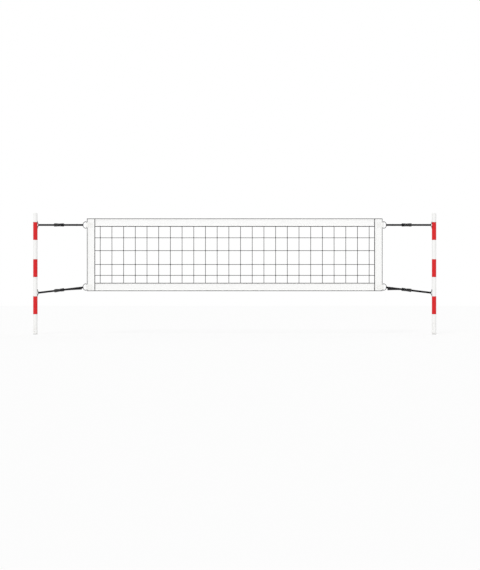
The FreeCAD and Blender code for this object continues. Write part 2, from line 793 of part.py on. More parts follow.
parts = {"net_mesh": [net_mesh()]}
for name in ("top", "bottom"):
    parts[name + "_band"] = [band(name)]
for name in ("left", "right"):
    parts[name + "_side_band"] = [band(name)]
parts["band_ropes"] = [band_rod(name, 0) for name in ("top", "bottom")]
parts["side_battens"] = [band_rod(name, batten_inset) for name in ("left", "right")]
parts["edge_binding"] = [piece for name in band_length for piece in edge_binding(name)]

for side in SIDES:
    parts[side + "_pole_tube"] = [pole_tube(side)]
parts["red_sleeves"] = [piece for side in SIDES for piece in red_sleeves(side)]
parts["pole_top_caps"] = [top_cap(side) for side in SIDES]
parts["pole_foot_plugs"] = [foot_plug(side) for side in SIDES]
parts["strap_anchors"] = []
parts["anchor_screws"] = []
for side in SIDES:
    for height in anchor_height.values():
        seat = pad_seat(height)
        parts["strap_anchors"].append(placed(strap_anchor(seat), pole_frame(side, height)))
        for sign in (1, -1):
            parts["anchor_screws"].append(placed(anchor_screw(sign, seat), pole_frame(side, height)))

parts["ring_tabs"] = []
parts["strap_keepers"] = []
parts["pole_straps"] = []
parts["frame_bolts"] = []
parts["lock_springs"] = []
ratchet = {
    "ratchet_frame": ratchet_frame(),
    "handle": handle(),
    "handle_grip": handle_grip(),
    "drive_pawl": drive_pawl(),
    "drive_spring": spring(drive_plate[1] + lip_thickness, drive_bar[0], drive_angle),
    "spool": spool(),
    "wound_webbing": wound_webbing(),
    "lock_pawl": lock_pawl(),
}
for side in SIDES:
    for level in LEVELS:
        place = side + "_" + level
        upright = strap_frame(side, level, 0)
        along = strap_frame(side, level, strap_tilt(level))
        at_axle = along.multiply(FreeCAD.Placement(axle_place(side), FreeCAD.Rotation()))
        parts[place + "_d_ring"] = [placed(d_ring(), upright)]
        parts["ring_tabs"].append(placed(ring_tab(), upright))
        parts[place + "_net_strap"] = [placed(piece, along) for piece in net_strap(side)]
        parts["strap_keepers"].append(placed(strap_keeper(), along))
        parts["pole_straps"].append(placed(pole_strap(side, level), along))
        parts["frame_bolts"].append(placed(frame_bolt(), at_axle))
        lock_spring = spring(lock_plate[1], lock_lug[0], lock_angle)
        parts["lock_springs"].append(placed(lock_spring, at_axle))
        for piece, shape in ratchet.items():
            parts[place + "_" + piece] = [placed(shape, at_axle)]

os.makedirs("parts", exist_ok=True)
for name, pieces in parts.items():
    shape = pieces[0] if len(pieces) == 1 else Part.makeCompound(pieces)
    shape.exportStep("parts/" + name + ".step")
    state = "valid" if shape.isValid() else "NOT VALID"
    print(name, len(shape.Solids), "solids", round(shape.Volume / 1000, 1), "cm3", state)
print(len(parts), "nodes")
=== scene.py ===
import bmesh
import bpy
import json
from math import atan2, ceil, copysign, cos, pi, radians, sin, sqrt, tan
from mathutils import Matrix, Vector


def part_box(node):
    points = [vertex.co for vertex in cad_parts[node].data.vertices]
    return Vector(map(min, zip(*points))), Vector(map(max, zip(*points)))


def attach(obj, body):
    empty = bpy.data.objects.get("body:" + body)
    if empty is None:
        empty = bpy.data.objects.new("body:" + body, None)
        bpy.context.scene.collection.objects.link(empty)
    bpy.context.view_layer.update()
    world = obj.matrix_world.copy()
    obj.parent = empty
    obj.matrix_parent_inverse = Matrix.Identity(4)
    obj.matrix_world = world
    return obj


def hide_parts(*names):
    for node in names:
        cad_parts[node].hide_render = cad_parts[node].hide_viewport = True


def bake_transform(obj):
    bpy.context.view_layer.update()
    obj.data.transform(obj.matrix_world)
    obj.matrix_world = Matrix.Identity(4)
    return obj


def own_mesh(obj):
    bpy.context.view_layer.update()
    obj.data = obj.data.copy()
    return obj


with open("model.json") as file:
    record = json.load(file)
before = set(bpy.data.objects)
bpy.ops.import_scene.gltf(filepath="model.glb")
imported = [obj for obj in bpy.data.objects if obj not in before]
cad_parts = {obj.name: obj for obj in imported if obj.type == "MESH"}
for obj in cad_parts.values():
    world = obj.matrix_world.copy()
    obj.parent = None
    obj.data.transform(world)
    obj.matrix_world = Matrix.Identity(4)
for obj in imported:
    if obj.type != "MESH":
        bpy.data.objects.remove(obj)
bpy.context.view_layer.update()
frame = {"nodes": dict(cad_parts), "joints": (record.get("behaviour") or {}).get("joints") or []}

joints = {joint["name"]: joint for joint in frame["joints"]}


# Poles: steel tubes, powder coated white, each with a moulded cap on top and a plastic plug in its foot.
# Three sleeves of glossy red vinyl are wrapped round each tube in shallow recesses, overlapping at the back.
pole_low, pole_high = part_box("right_pole_tube")
pole_x = (pole_low.x + pole_high.x) / 2
pole_radius = (pole_high.x - pole_low.x) / 2
red_height = 0.246
red_count = 3
rim_width = 0.005
rim_edge = 0.001
red_low, red_high = (corner.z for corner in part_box("red_sleeves"))
red_pitch = (red_high - red_low - red_height) / (red_count - 1)
splash_height = 0.24
dusty = (0.42, 0.38, 0.32, 1)


class Wire:
    """A socket in a material. Sums and products of wires and numbers add their Math nodes."""

    def __init__(self, tree, socket=None):
        self.tree = tree
        self.socket = socket

    def node(self, kind, settings=None, sockets=None, output=0):
        """Any other node: first its settings, then a number, a colour or a wire for each socket."""
        made = self.tree.nodes.new("ShaderNode" + kind)
        for name, value in (settings or {}).items():
            setattr(made, name, value)
        for name, value in (sockets or {}).items():
            if isinstance(value, Wire):
                self.tree.links.new(value.socket, made.inputs[name])
            else:
                made.inputs[name].default_value = value
        return Wire(self.tree, made.outputs[output])

    def math(self, operation, *values):
        return self.node("Math", {"operation": operation}, dict(enumerate(values)))

    def __add__(self, other):
        return self.math("ADD", self, other)

    def __sub__(self, other):
        return self.math("SUBTRACT", self, other)

    def __rsub__(self, other):
        return self.math("SUBTRACT", other, self)

    def __mul__(self, other):
        return self.math("MULTIPLY", self, other)

    __radd__ = __add__
    __rmul__ = __mul__


def finish(name, constants):
    """A new material, its shader's constant sockets set, and a wire of its Object coordinates."""
    material = bpy.data.materials.new(name)
    material.use_nodes = True
    shader = material.node_tree.nodes["Principled BSDF"]
    for socket, value in constants.items():
        shader.inputs[socket].default_value = value
    return material, Wire(material.node_tree).node("TexCoord", output="Object")


def feed(material, wires):
    """Links each wire to the shader's socket of that name."""
    shader = material.node_tree.nodes["Principled BSDF"]
    for socket, wire in wires.items():
        material.node_tree.links.new(wire.socket, shader.inputs[socket])


def noise(at, scale, detail=2.0):
    return at.node("TexNoise", {}, {"Vector": at, "Scale": scale, "Detail": detail})


def stretched(at, scale):
    """Coordinates that a pattern is drawn out with, by a different scale along each axis."""
    return at.node("Mapping", {}, {"Vector": at, "Scale": scale})


def slope(value, low, high):
    """0 up to low, 1 from high on, and smooth between."""
    return value.node("MapRange", {"interpolation_type": "SMOOTHSTEP"},
                      {"Value": value, "From Min": low, "From Max": high})


def mixed(share, first, second):
    """The first colour, going over to the second as share goes from 0 to 1."""
    return share.node("Mix", {"data_type": "RGBA"}, {0: share, 6: first, 7: second}, 2)


def bump(height, distance, strength=1.0):
    return height.node("Bump", {}, {"Height": height, "Distance": distance, "Strength": strength})


def axes(at):
    """Wires of the three coordinates."""
    return [at.node("SeparateXYZ", {}, {0: at}, output) for output in range(3)]


def pole_coating():
    satin = {"Specular IOR Level": 0.4, "Coat Weight": 0.04, "Coat Roughness": 0.3}
    material, at = finish("pole_coating", satin)
    height = axes(at)[2]
    cloud = noise(at, 8.0, 3.0)
    scratch = slope(noise(stretched(at, (260, 260, 9)), 1.0, 1.0), 0.70, 0.78)
    mud = slope(height, splash_height, 0.0) * slope(noise(at, 55.0, 6.0), 0.46, 0.72)
    cream = mixed(cloud, (0.91, 0.91, 0.90, 1), (0.87, 0.87, 0.86, 1))
    scuffed = mixed(scratch * 0.2, cream, (0.55, 0.55, 0.55, 1))
    peel = noise(at, 420.0)
    feed(material, {
        "Base Color": mixed(mud * 0.45, scuffed, dusty),
        "Roughness": 0.38 + cloud * 0.14 + mud * 0.3 + scratch * 0.15,
        "Normal": bump(peel - scratch * 0.4, 0.00025, 0.35),
    })
    return material


def red_vinyl():
    gloss = {"Specular IOR Level": 0.3, "Coat Weight": 0.08, "Coat Roughness": 0.15}
    material, at = finish("red_vinyl", gloss)
    x, y, z = axes(at)
    outwards = at.math("ABSOLUTE", x) - pole_x
    angle = at.math("ARCTAN2", outwards, y)
    overlap = slope(angle, 0.30, 0.33) * slope(angle, 1.6, 0.5)
    place = at.math("MODULO", z - red_low, red_pitch)
    rim = slope(place, rim_width, rim_edge) + slope(place, red_height - rim_width, red_height - rim_edge)
    cloud = noise(at, 14.0, 3.0)
    scuff = slope(noise(stretched(at, (90, 90, 420)), 1.0, 2.0), 0.70, 0.80)
    red = mixed(cloud, (0.70, 0.008, 0.011, 1), (0.62, 0.006, 0.009, 1))
    chalky = mixed(scuff * 0.3, red, (0.70, 0.12, 0.11, 1))
    feed(material, {
        "Base Color": mixed(rim * 0.8, chalky, (0.20, 0.004, 0.006, 1)),
        "Roughness": 0.26 + cloud * 0.12 + scuff * 0.3 + rim * 0.2,
        "Normal": bump(overlap + noise(at, 60.0) * 0.6, 0.0005, 0.5),
    })
    return material


def moulded(name, light, dark, roughness):
    """Moulded plastic with a fine spark-eroded grain."""
    material, at = finish(name, {"Specular IOR Level": 0.4})
    cloud = noise(at, 30.0, 4.0)
    grain = noise(at, 1800.0, 3.0)
    feed(material, {
        "Base Color": mixed(cloud, light, dark),
        "Roughness": roughness + cloud * 0.12 + grain * 0.08,
        "Normal": bump(grain, 0.0002, 0.4),
    })
    return material


def dress(names, material):
    """Gives pieces that come with the frame their finish."""
    for name in names:
        for slot in frame["nodes"][name].material_slots:
            slot.material = material


black_plastic = moulded("black_plastic", (0.018, 0.018, 0.018, 1), (0.034, 0.033, 0.032, 1), 0.42)
dress(["left_pole_tube", "right_pole_tube"], pole_coating())
dress(["red_sleeves"], red_vinyl())
dress(["pole_top_caps"], moulded("cap_plastic", (0.82, 0.82, 0.81, 1), (0.72, 0.72, 0.70, 1), 0.38))
dress(["pole_foot_plugs"], black_plastic)


# Strap anchors: a bent wire loop welded between two curved pads, four of them, coated satin black. Each is
# held to its tube by two zinc plated pan-head screws, a little dulled.
def satin_black():
    satin = {"Specular IOR Level": 0.35, "Coat Weight": 0.05, "Coat Roughness": 0.35}
    material, at = finish("satin_black", satin)
    cloud = noise(at, 60.0, 3.0)
    rub = slope(noise(at, 210.0, 6.0), 0.66, 0.78)
    black = mixed(cloud, (0.010, 0.010, 0.011, 1), (0.018, 0.018, 0.019, 1))
    feed(material, {
        "Base Color": mixed(rub * 0.5, black, (0.12, 0.12, 0.12, 1)),
        "Metallic": rub * 0.5,
        "Roughness": 0.38 + cloud * 0.12 - rub * 0.1,
        "Normal": bump(noise(at, 900.0) - rub * 0.5, 0.00012, 0.4),
    })
    return material


def plated(name, light, dark, dulled):
    """Plated steel: fine spangles of two greys, and dull patches."""
    material, at = finish(name, {"Metallic": 1.0})
    spangle = at.node("TexVoronoi", {}, {"Vector": at, "Scale": 260.0}, 1)
    grey = at.node("SeparateColor", {}, {0: spangle})
    patch = slope(noise(at, 45.0, 5.0), 0.45, 0.75)
    feed(material, {
        "Base Color": mixed(patch, mixed(grey, light, dark), dulled),
        "Roughness": 0.30 + grey * 0.14 + patch * 0.25,
        "Normal": bump(noise(at, 500.0), 0.0001, 0.3),
    })
    return material


coated = satin_black()
zinc_plate = plated("zinc_plate", (0.30, 0.30, 0.31, 1), (0.44, 0.44, 0.45, 1), (0.20, 0.20, 0.20, 1))
dress(["strap_anchors"], coated)
dress(["anchor_screws"], zinc_plate)


# Mesh: braided black cord, 24 uprights woven over and under four level cords, each crossing lashed
# with two turns of thinner cord. A border cord goes round it inside the bands' seams.
cord_radius = 0.004
cord_sides = 10
mesh_low, mesh_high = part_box("net_mesh")
seam_depth = 0.012
border_depth = 0.008
border_bend = 0.012
opening_half = mesh_high.x - seam_depth
opening_top = mesh_high.z - seam_depth
opening_bottom = mesh_low.z + seam_depth
upright_pitch = 0.161
upright_count = 24
row_heights = [0.153, 0.177, 0.1905, 0.150]
weave_bow = 0.0041
cord_step = 0.012
border_step = 0.05
arc_step = radians(12)
least_run = 1e-6
lashing_radius = 0.0014
lashing_steps = 14
lashing_sides = 5
lashing_squareness = 0.8
lashing_beside = lashing_radius * 0.6
lashing_over = lashing_radius * 0.8
cord_plait = 0.009
plait_strands = 4
drift_waves = [(0.0026, 4.1, 2.3), (0.0011, 11.3, -5.0)]
sharp_angle = radians(40)


def ease(share):
    share = min(1.0, max(0.0, share))
    return share * share * (3 - 2 * share)


def drift(x, z):
    """How far the net stands off its plane: slow waves that die out at the side bands."""
    inside = max(0.0, 1 - (x / opening_half) ** 2)
    return inside * sum(size * sin(across * x + up * z) for size, across, up in drift_waves)


def circle(radius, sides):
    """A round outline in the XY plane."""
    angles = [2 * pi * i / sides for i in range(sides)]
    return [Vector((radius * cos(angle), radius * sin(angle), 0)) for angle in angles]


def along(path, side, looped=False):
    """A matrix for each point of a path: Z runs along the path and X keeps towards side."""
    before = [path[-1]] + path[:-1] if looped else [path[0]] + path[:-1]
    after = path[1:] + [path[0]] if looped else path[1:] + [path[-1]]
    places = []
    for last, here, following in zip(before, path, after):
        run = (following - last).normalized()
        across = (side - run * side.dot(run)).normalized()
        place = Matrix((across, run.cross(across), run)).transposed().to_4x4()
        place.translation = here
        places.append(place)
    return places


def sweep(outline, places, looped=False):
    """A closed outline carried through a row of places: a mesh with a UV map in metres, along and around."""
    body = bmesh.new()
    number = body.verts.layers.int.new("number")
    travel = body.verts.layers.float.new("travel")
    ring = [body.verts.new(places[0] @ point) for point in outline]
    for i, vert in enumerate(ring):
        vert[number] = i
    first = [body.edges.new(pair) for pair in zip(ring, ring[1:] + ring[:1])]
    edges = first
    length = 0.0
    for before, place in zip(places, places[1:]):
        length += (place.translation - before.translation).length
        made = bmesh.ops.extrude_edge_only(body, edges=edges)["geom"]
        fresh = {item for item in made if isinstance(item, bmesh.types.BMVert)}
        for vert in fresh:
            vert.co = place @ outline[vert[number]]
            vert[travel] = length
        edges = [item for item in made
                 if isinstance(item, bmesh.types.BMEdge) and fresh.issuperset(item.verts)]
    if looped:
        length += (places[0].translation - places[-1].translation).length
        bmesh.ops.bridge_loops(body, edges=first + edges)
    around = [0.0]
    for here, following in zip(outline, outline[1:] + outline[:1]):
        around.append(around[-1] + (following - here).length)
    uv = body.loops.layers.uv.new("UVMap")
    for face in body.faces:
        numbers = [vert[number] for vert in face.verts]
        travels = [vert[travel] for vert in face.verts]
        closes = max(numbers) - min(numbers) > 1
        returns = looped and max(travels) - min(travels) > length / 2
        for loop in face.loops:
            i = len(outline) if closes and loop.vert[number] == 0 else loop.vert[number]
            u = length if returns and loop.vert[travel] == 0 else loop.vert[travel]
            loop[uv].uv = (u, around[i])
    if not looped:
        bmesh.ops.contextual_create(body, geom=first)
        bmesh.ops.contextual_create(body, geom=edges)
    mesh = bpy.data.meshes.new("swept")
    body.to_mesh(mesh)
    body.free()
    return mesh


def placed(mesh, matrix):
    """A copy of a mesh, moved by a matrix."""
    copy = mesh.copy()
    copy.transform(matrix)
    return copy


def piece(name, shapes, material, body=None, replaced=(), moved=None):
    """One object made of several meshes, which are used up, with its finish, slot and body."""
    whole = bmesh.new()
    for shape in shapes:
        whole.from_mesh(shape)
        bpy.data.meshes.remove(shape)
    bmesh.ops.recalc_face_normals(whole, faces=whole.faces)
    for face in whole.faces:
        face.smooth = True
    for edge in whole.edges:
        edge.smooth = not (edge.is_manifold and edge.calc_face_angle() > sharp_angle)
    if moved:
        for vert in whole.verts:
            vert.co.y += moved(vert.co.x, vert.co.z)
    mesh = bpy.data.meshes.new(name)
    whole.to_mesh(mesh)
    whole.free()
    mesh.materials.append(material)
    made = bpy.data.objects.new(name, mesh)
    bpy.context.scene.collection.objects.link(made)
    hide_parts(*replaced)
    if body:
        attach(made, body)
    return made


def braid(at, girth, pitch, strands):
    """The height of a braided sleeve's strands, which cross each other both ways round the cord."""
    uv = at.node("UVMap", {"uv_map": "UVMap"})
    u, v = axes(uv)[:2]
    turns = v * (2 * pi * strands / girth)
    walk = u * (2 * pi / pitch)
    return at.math("MAXIMUM", at.math("SINE", walk + turns), at.math("SINE", walk - turns))


def braided(name, light, dark, girth, pitch, strands):
    """Braided cord with a faint sheen and a few dusty stretches. The grooves between its strands are painted
    darker and their crowns lighter, as painted shade.
    """
    material, at = finish(name, {"Specular IOR Level": 0.2, "Sheen Weight": 0.04, "Sheen Roughness": 0.4})
    strand = braid(at, girth, pitch, strands)
    dust = slope(noise(at, 22.0, 5.0), 0.5, 0.8)
    feed(material, {
        "Base Color": mixed(slope(strand, -0.2, 1.0) * 0.8 + dust * 0.2, dark, light),
        "Roughness": 0.82 - slope(strand, 0.0, 1.0) * 0.2,
        "Normal": bump(strand, 0.0007, 0.8),
    })
    return material


def woven(stops):
    """Points of (place along the cord, bow) between stops of the same kind, eased from one to the next."""
    points = []
    for (start, bow), (end, next_bow) in zip(stops, stops[1:]):
        count = ceil(abs(end - start) / cord_step)
        for i in range(count):
            points.append((start + (end - start) * i / count, bow + (next_bow - bow) * ease(i / count)))
    return points + [stops[-1]]


def lashing(lean):
    """One turn of thin cord round a crossing, leaning to one side."""
    reach = sqrt(2) * (cord_radius + lashing_beside)
    depth = weave_bow + cord_radius + lashing_over
    path = []
    for i in range(lashing_steps):
        angle = 2 * pi * i / lashing_steps
        out = reach * copysign(abs(cos(angle)) ** lashing_squareness, cos(angle)) / sqrt(2)
        stand = depth * copysign(abs(sin(angle)) ** lashing_squareness, sin(angle))
        path.append(Vector((lean * out, stand, out)))
    return sweep(circle(lashing_radius, lashing_sides), along(path, Vector((lean, 0, -1)), True), True)


row_levels = [opening_top - sum(row_heights[:i + 1]) for i in range(len(row_heights))]
upright_places = [upright_pitch * (i - (upright_count - 1) / 2) for i in range(upright_count)]
border_half = opening_half + border_depth
border_top = opening_top + border_depth
border_bottom = opening_bottom - border_depth
round_cord = circle(cord_radius, cord_sides)
depthwise = Vector((0, 1, 0))

cords = []
for i, x in enumerate(upright_places):
    stops = [(z, weave_bow * (-1) ** (i + j)) for j, z in enumerate(row_levels)]
    line = woven([(border_top, 0.0)] + stops + [(border_bottom, 0.0)])
    cords.append(sweep(round_cord, along([Vector((x, y, z)) for z, y in line], depthwise)))
for j, z in enumerate(row_levels):
    stops = [(x, -weave_bow * (-1) ** (i + j)) for i, x in enumerate(upright_places)]
    line = woven([(-border_half, 0.0)] + stops + [(border_half, 0.0)])
    cords.append(sweep(round_cord, along([Vector((x, y, z)) for x, y in line], depthwise)))

lashings = [lashing(1), lashing(-1)]
for x in upright_places:
    for z in row_levels:
        cords += [placed(turn, Matrix.Translation((x, 0, z))) for turn in lashings]
for turn in lashings:
    bpy.data.meshes.remove(turn)


def straight(start, end, step):
    """Points after start, up to end, at most a step apart."""
    count = max(1, ceil((end - start).length / step))
    return [start.lerp(end, i / count) for i in range(1, count + 1)]


def swung(centre, start, turn):
    """Points after start on an arc about centre, in the XY plane."""
    count = max(2, ceil(abs(turn) / arc_step))
    arm = start - centre
    return [centre + Matrix.Rotation(turn * i / count, 3, "Z") @ arm for i in range(1, count + 1)]


def rounded(corners, step):
    """Points along straight runs and tangent arcs, from corners of (x, y, radius)."""
    spots = [Vector((x, y, 0)) for x, y, radius in corners]
    path = [spots[0]]
    for before, here, after, (x, y, radius) in zip(spots, spots[1:], spots[2:], corners[1:]):
        into = (here - before).normalized()
        out = (after - here).normalized()
        turn = atan2(into.x * out.y - into.y * out.x, into.dot(out))
        start = here - into * radius * tan(abs(turn) / 2)
        if (start - path[-1]).length > least_run:
            path += straight(path[-1], start, step)
        centre = start + Vector((-into.y, into.x, 0)) * copysign(radius, turn)
        path += swung(centre, start, turn)
    return path + straight(path[-1], spots[-1], step)


corner_points = [(0, border_top), (border_half, border_top), (border_half, border_bottom),
                 (-border_half, border_bottom), (-border_half, border_top), (0, border_top)]
border = rounded([(x, z, border_bend) for x, z in corner_points], border_step)[:-1]
border = [Vector((point.x, 0, point.y)) for point in border]
cords.append(sweep(round_cord, along(border, depthwise, True), True))
net_cord = braided("net_cord", (0.016, 0.016, 0.018, 1), (0.004, 0.004, 0.005, 1),
                   2 * pi * cord_radius, cord_plait, plait_strands)
piece("net_cords", cords, net_cord, "root", ["net_mesh"], drift)


# Bands: white vinyl-coated tape, folded round a rope along the top and bottom edges and round a fibreglass
# batten at each side. The two legs are sewn shut beside the fold and over the mesh, and narrow black binding
# is sewn over every edge.
tape = 0.0015
fit = 0.0003
leg_gap = fit / 6
edge_rounding = 0.8
band_width = 0.113
binding_width = 0.008
binding = 0.0008
binding_over = binding * 0.6
fold_flat = 0.008
fold_taper = 0.018
seam_taper = 0.012
seam_half = cord_radius + fit + tape
seam_start = band_width - seam_depth - fit - tape
taper_steps = 6
band_step = 0.025
tuck = 0.006
rope_radius = 0.003
rope_plait = 0.010
batten_radius = 0.005
stitch_pitch = 0.0065
thread = 0.0009
thread_sides = 4
thread_twist = 0.0006
end_facing = 0.9
scrim_pitch = 0.0011
binding_rib = 0.0008
binding_row = binding_width * 0.78
leg_row = band_width - binding_width * 0.5
fold_row = fold_flat + fold_taper
seam_row = band_width - binding_width * 1.6
net_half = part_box("edge_binding")[1].x
net_bottom, net_top = (corner.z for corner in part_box("right_side_band"))


def fold_radius(core):
    return core + fit + tape


def leg(x, core):
    """How far a leg's middle stands from the band's middle plane, at x from the band's outer edge."""
    flat = tape / 2 + leg_gap
    high = fold_radius(core) - tape / 2
    if x < seam_start - seam_taper:
        return high + (flat - high) * ease((x - fold_flat) / fold_taper)
    return flat + (seam_half - tape / 2 - flat) * ease((x - seam_start + seam_taper) / seam_taper)


def folded(core, lift, inner):
    """The line of a tape folded round the outer edge, lift off the tape's middle, to inner from the edge."""
    fold_steps = [fold_flat + fold_taper * i / taper_steps for i in range(taper_steps + 1)]
    seam_steps = [seam_start - seam_taper * (1 - i / taper_steps) for i in range(taper_steps + 1)]
    stops = [x for x in fold_steps + seam_steps + [band_width] if x < inner - fit] + [inner]
    front = [Vector((x, leg(x, core) + lift, 0)) for x in reversed(stops)]
    centre = Vector((binding + fold_radius(core), 0, 0))
    start = centre + Vector((0, fold_radius(core) - tape / 2 + lift, 0))
    return front + [start] + swung(centre, start, pi) + [Vector((p.x, -p.y, 0)) for p in reversed(front)]


def thick(line, thickness):
    """The closed outline of a tape whose middle follows a line, with rounded edges."""
    half = thickness / 2
    left, right = [], []
    for before, here, after in zip(line[:1] + line, line, line[1:] + line[-1:]):
        run = (after - before).normalized()
        aside = Vector((-run.y, run.x, 0)) * half
        left.append(here + aside)
        right.append(here - aside)
    head = line[0] + (line[0] - line[1]).normalized() * half * edge_rounding
    end = line[-1] + (line[-1] - line[-2]).normalized() * half * edge_rounding
    return left + [end] + right[::-1] + [head]


def length_of(line):
    return sum((after - before).length for before, after in zip(line, line[1:]))


def stitches(start, end, out, pitch=stitch_pitch):
    """A row of stitches from start to end on a face that looks towards out."""
    run = end - start
    count = max(2, round(run.length / pitch))
    step = run.length / count
    humps = [(0, -1), (0.2, 0.35), (0.6, 0.35), (0.8, -1)]
    spots = [Vector((0, rise * thread, share * step)) for share, rise in humps]
    body = bmesh.new()
    one = sweep(circle(thread / 2, thread_sides), along(spots, Vector((1, 0, 0))))
    body.from_mesh(one)
    bpy.data.meshes.remove(one)
    ends = [face for face in body.faces if abs(face.normal.z) > end_facing]
    bmesh.ops.delete(body, geom=ends, context="FACES_ONLY")
    bmesh.ops.spin(body, geom=body.verts[:] + body.edges[:] + body.faces[:], cent=(0, 0, 0),
                   axis=(0, 0, 1), dvec=(0, 0, step), angle=0.0, steps=count - 1, use_duplicate=True)
    row = bpy.data.meshes.new("row")
    body.to_mesh(row)
    body.free()
    onward = run.normalized()
    place = Matrix((out.cross(onward), out, onward)).transposed().to_4x4()
    place.translation = start
    row.transform(place)
    return row


def set_in(inwards, out, corner):
    """A band's frame: X from its outer edge inwards, Y out of its face, Z along it."""
    place = Matrix((inwards, out, inwards.cross(out))).transposed().to_4x4()
    place.translation = corner
    return place


def woven_height(at, along_pitch, across_pitch):
    """The height of a plain weave on the piece's own UV map."""
    u, v = axes(at.node("UVMap", {"uv_map": "UVMap"}))[:2]
    return at.math("SINE", u * (pi / along_pitch)) * at.math("SINE", v * (pi / across_pitch))


def tape_finish():
    material, at = finish("tape_vinyl", {"Specular IOR Level": 0.45})
    scrim = woven_height(at, scrim_pitch, scrim_pitch)
    cloud = noise(at, 6.0, 4.0)
    smudge = slope(noise(at, 17.0, 6.0), 0.55, 0.80)
    crease = noise(stretched(at, (35, 35, 35)), 1.0, 3.0)
    white = mixed(cloud, (0.94, 0.94, 0.935, 1), (0.91, 0.91, 0.90, 1))
    feed(material, {
        "Base Color": mixed(smudge * 0.10, white, (0.60, 0.58, 0.54, 1)),
        "Roughness": 0.42 + cloud * 0.12 + smudge * 0.15,
        "Normal": bump(scrim * 0.12 + crease, 0.0012, 0.55),
    })
    return material


def ribbed(name, light, dark, rib):
    """Narrow woven tape with ribs across it, painted darker between the ribs and lighter on them, as painted
    shade.
    """
    material, at = finish(name, {"Specular IOR Level": 0.2, "Sheen Weight": 0.04, "Sheen Roughness": 0.5})
    height = woven_height(at, rib, rib * 0.6)
    feed(material, {
        "Base Color": mixed(slope(height, -1.0, 1.0), dark, light),
        "Roughness": 0.85 - slope(height, 0.0, 1.0) * 0.15,
        "Normal": bump(height, 0.0003, 0.7),
    })
    return material


def thread_finish(name, light, dark):
    material, at = finish(name, {"Specular IOR Level": 0.25, "Sheen Weight": 0.05})
    twist = at.math("SINE", axes(at.node("UVMap", {"uv_map": "UVMap"}))[0] * (2 * pi / thread_twist))
    # The thread is painted darker in the grooves of its twist and lighter on its plies, as painted shade.
    feed(material, {"Base Color": mixed(slope(twist, -1.0, 1.0), dark, light),
                    "Roughness": 0.6 + noise(at, 200.0) * 0.2, "Normal": bump(twist, 0.0001, 0.5)})
    return material


tape_vinyl = tape_finish()
black_binding = ribbed("black_binding", (0.014, 0.014, 0.016, 1), (0.005, 0.005, 0.006, 1), binding_rib)
white_thread = thread_finish("white_thread", (0.82, 0.82, 0.79, 1), (0.62, 0.62, 0.58, 1))
black_thread = thread_finish("black_thread", (0.018, 0.018, 0.020, 1), (0.008, 0.008, 0.009, 1))
bands = {
    "top": (set_in(Vector((0, 0, -1)), Vector((0, 1, 0)), Vector((-opening_half, 0, net_top))),
            2 * opening_half, rope_radius, tuck),
    "bottom": (set_in(Vector((0, 0, 1)), Vector((0, -1, 0)), Vector((-opening_half, 0, net_bottom))),
               2 * opening_half, rope_radius, tuck),
    "left_side": (set_in(Vector((1, 0, 0)), Vector((0, 1, 0)), Vector((-net_half, 0, net_bottom))),
                  net_top - net_bottom, batten_radius, 0.0),
    "right_side": (set_in(Vector((-1, 0, 0)), Vector((0, -1, 0)), Vector((net_half, 0, net_bottom))),
                   net_top - net_bottom, batten_radius, 0.0),
}


def run_of(place, start, end):
    """Places at even steps along a band."""
    count = ceil((end - start) / band_step)
    return [place @ Matrix.Translation((0, 0, start + (end - start) * i / count)) for i in range(count + 1)]


def leg_strip(core, sign):
    """The line of the binding over a leg's raw edge: along its outer face and round the end."""
    outer = leg(band_width, core) + tape / 2 + binding / 2
    end = band_width + binding_over
    points = [(band_width - binding_width, outer), (band_width - binding_width / 2, outer),
              (band_width, outer), (end, outer - tape / 2), (end, outer - tape)]
    return [Vector((x, sign * y, 0)) for x, y in points]


def sewn(band, x, lift, trimmed):
    """Rows of stitches at x from a band's outer edge, on both of its faces."""
    place, length, core = band[:3]
    stand = leg(x, core) + tape / 2 + lift
    rows = [stitches(Vector((x, sign * stand, trimmed)), Vector((x, sign * stand, length - trimmed)),
                     Vector((0, sign, 0))) for sign in (1, -1)]
    for row in rows:
        row.transform(place)
    return rows


ropes = []
for name, band in bands.items():
    place, length, core, margin = band
    line = folded(core, 0.0, band_width)
    sides = name.endswith("side")
    trimmed = binding_width if sides else -margin
    outer_edge = thick(folded(core, tape / 2 + binding / 2, binding_width), binding)
    strips = [sweep(outer_edge, run_of(place, trimmed, length - trimmed))]
    strips += [sweep(thick(leg_strip(core, sign), binding), run_of(place, trimmed, length - trimmed))
               for sign in (1, -1)]
    if sides:
        collar = thick(folded(core, tape / 2 + binding / 2, band_width), binding)
        strips += [sweep(collar, run_of(place, start, start + binding_width))
                   for start in (0.0, length - binding_width)]
    bound = piece(name + "_binding", strips, black_binding, "root", ["edge_binding"], drift)
    dark_rows = sewn(band, binding_row, binding, trimmed) + sewn(band, leg_row, binding, trimmed)
    dark_sewing = piece(name + "_binding_stitches", dark_rows, black_thread,
                        "root", (), drift)
    white_rows = sewn(band, fold_row, 0.0, trimmed) + sewn(band, seam_row, 0.0, trimmed)
    white_sewing = piece(name + "_seam_stitches", white_rows, white_thread,
                         "root", (), drift)
    cloth = piece(name + "_tape", [sweep(thick(line, tape), run_of(place, -margin, length + margin))],
                  tape_vinyl, "root", [name + "_band"], drift)
    length_of(line)
    length + 2 * margin
    if not sides:
        middle = Matrix.Translation((binding + fold_radius(core), 0, 0))
        ropes.append(sweep(circle(core, cord_sides), run_of(place @ middle, 0.0, length)))

rope = braided("edge_rope", (0.70, 0.70, 0.66, 1), (0.42, 0.42, 0.38, 1),
               2 * pi * rope_radius, rope_plait, plait_strands)
piece("band_cords", ropes, rope, "root", ["band_ropes"], drift)


def fibreglass():
    material, at = finish("fibreglass", {"Coat Weight": 0.5, "Coat Roughness": 0.1})
    strand = noise(stretched(at, (900, 900, 14)), 1.0, 3.0)
    feed(material, {
        "Base Color": mixed(strand, (0.74, 0.72, 0.58, 1), (0.60, 0.57, 0.42, 1)),
        "Roughness": 0.3 + strand * 0.2,
        "Normal": bump(strand, 0.0001, 0.5),
    })
    return material


dress(["side_battens"], fibreglass())


